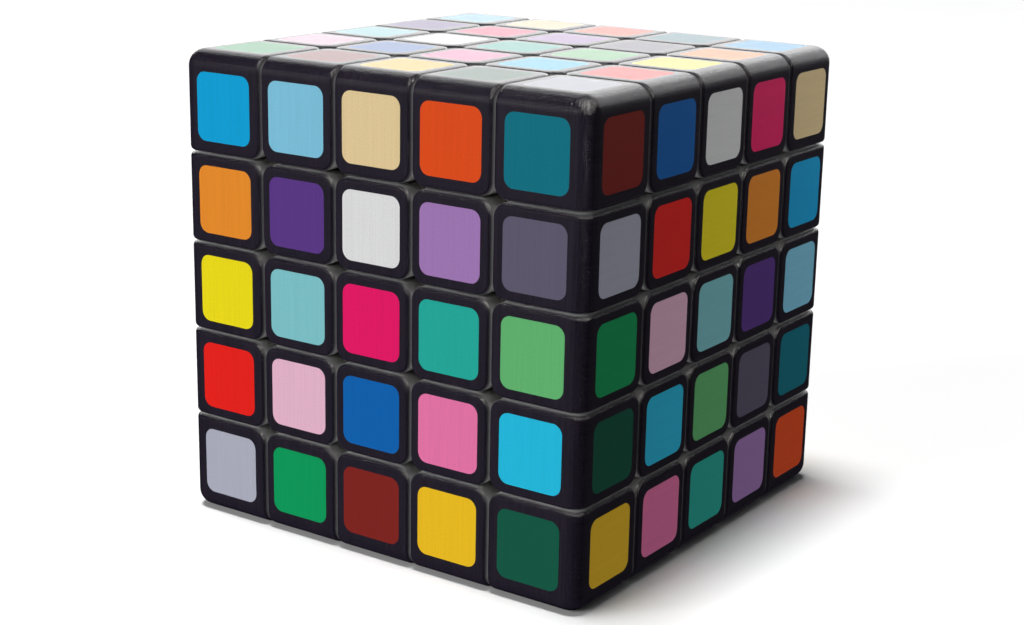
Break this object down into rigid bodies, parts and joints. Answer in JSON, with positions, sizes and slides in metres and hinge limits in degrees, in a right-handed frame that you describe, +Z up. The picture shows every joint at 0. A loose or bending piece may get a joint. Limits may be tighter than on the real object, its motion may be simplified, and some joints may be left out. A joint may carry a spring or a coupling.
{
  "type": "twisty puzzle cube",
  "caption": "Cube puzzle of capped cubies in turning layers around a sprung core, each face a grid of coloured squares.",
  "frame": {"origin": "middle of the bottom face, which the cube rests on", "axes": "+Z up, along the axis that the five layers turn about; +X and +Y square to the side faces"},
  "size_m": [0.063, 0.063, 0.063],
  "materials": {
    "printed_cap": "black moulded plastic, satin, with one printed colour square on each outer face",
    "inner_plastic": "dark moulded plastic, smooth, lightly greased",
    "core_plastic": "ivory moulded plastic, smooth",
    "plated_steel": "zinc-plated steel",
    "spring_steel": "drawn spring wire"
  },
  "bodies": {
    "top_layer": {"top_corner_caps": "printed_cap", "top_corner_feet": "inner_plastic", "top_cross_centre_caps": "printed_cap", "top_cross_centre_feet": "inner_plastic", "top_diagonal_centre_caps": "printed_cap", "top_diagonal_centre_feet": "inner_plastic", "top_fixed_centre_cap": "printed_cap", "top_fixed_centre_hub": "inner_plastic", "top_middle_edge_caps": "printed_cap", "top_middle_edge_feet": "inner_plastic", "top_tension_spring": "spring_steel", "top_tension_washer": "plated_steel", "top_wing_edge_caps": "printed_cap", "top_wing_edge_feet": "inner_plastic"},
    "upper_slice": {"upper_cross_centre_caps": "printed_cap", "upper_cross_centre_feet": "inner_plastic", "upper_diagonal_centre_caps": "printed_cap", "upper_diagonal_centre_feet": "inner_plastic", "upper_wing_edge_caps": "printed_cap", "upper_wing_edge_feet": "inner_plastic"},
    "equator_slice": {"core_spider": "core_plastic", "equator_cross_centre_caps": "printed_cap", "equator_cross_centre_feet": "inner_plastic", "equator_fixed_centre_caps": "printed_cap", "equator_fixed_centre_hubs": "inner_plastic", "equator_middle_edge_caps": "printed_cap", "equator_middle_edge_feet": "inner_plastic", "equator_tension_springs": "spring_steel", "equator_tension_washers": "plated_steel", "tension_screws": "plated_steel"},
    "lower_slice": {"lower_cross_centre_caps": "printed_cap", "lower_cross_centre_feet": "inner_plastic", "lower_diagonal_centre_caps": "printed_cap", "lower_diagonal_centre_feet": "inner_plastic", "lower_wing_edge_caps": "printed_cap", "lower_wing_edge_feet": "inner_plastic"},
    "bottom_layer": {"bottom_corner_caps": "printed_cap", "bottom_corner_feet": "inner_plastic", "bottom_cross_centre_caps": "printed_cap", "bottom_cross_centre_feet": "inner_plastic", "bottom_diagonal_centre_caps": "printed_cap", "bottom_diagonal_centre_feet": "inner_plastic", "bottom_fixed_centre_cap": "printed_cap", "bottom_fixed_centre_hub": "inner_plastic", "bottom_middle_edge_caps": "printed_cap", "bottom_middle_edge_feet": "inner_plastic", "bottom_tension_spring": "spring_steel", "bottom_tension_washer": "plated_steel", "bottom_wing_edge_caps": "printed_cap", "bottom_wing_edge_feet": "inner_plastic"}
  },
  "joints": [
    {"name": "top_turn", "type": "hinge", "parent": "equator_slice", "child": "top_layer", "pos_m": [0, 0, 0.0315], "axis": [0, 0, 1], "continuous": true},
    {"name": "upper_turn", "type": "hinge", "parent": "equator_slice", "child": "upper_slice", "pos_m": [0, 0, 0.0315], "axis": [0, 0, 1], "continuous": true},
    {"name": "lower_turn", "type": "hinge", "parent": "equator_slice", "child": "lower_slice", "pos_m": [0, 0, 0.0315], "axis": [0, 0, 1], "continuous": true},
    {"name": "bottom_turn", "type": "hinge", "parent": "equator_slice", "child": "bottom_layer", "pos_m": [0, 0, 0.0315], "axis": [0, 0, 1], "continuous": true}
  ]
}
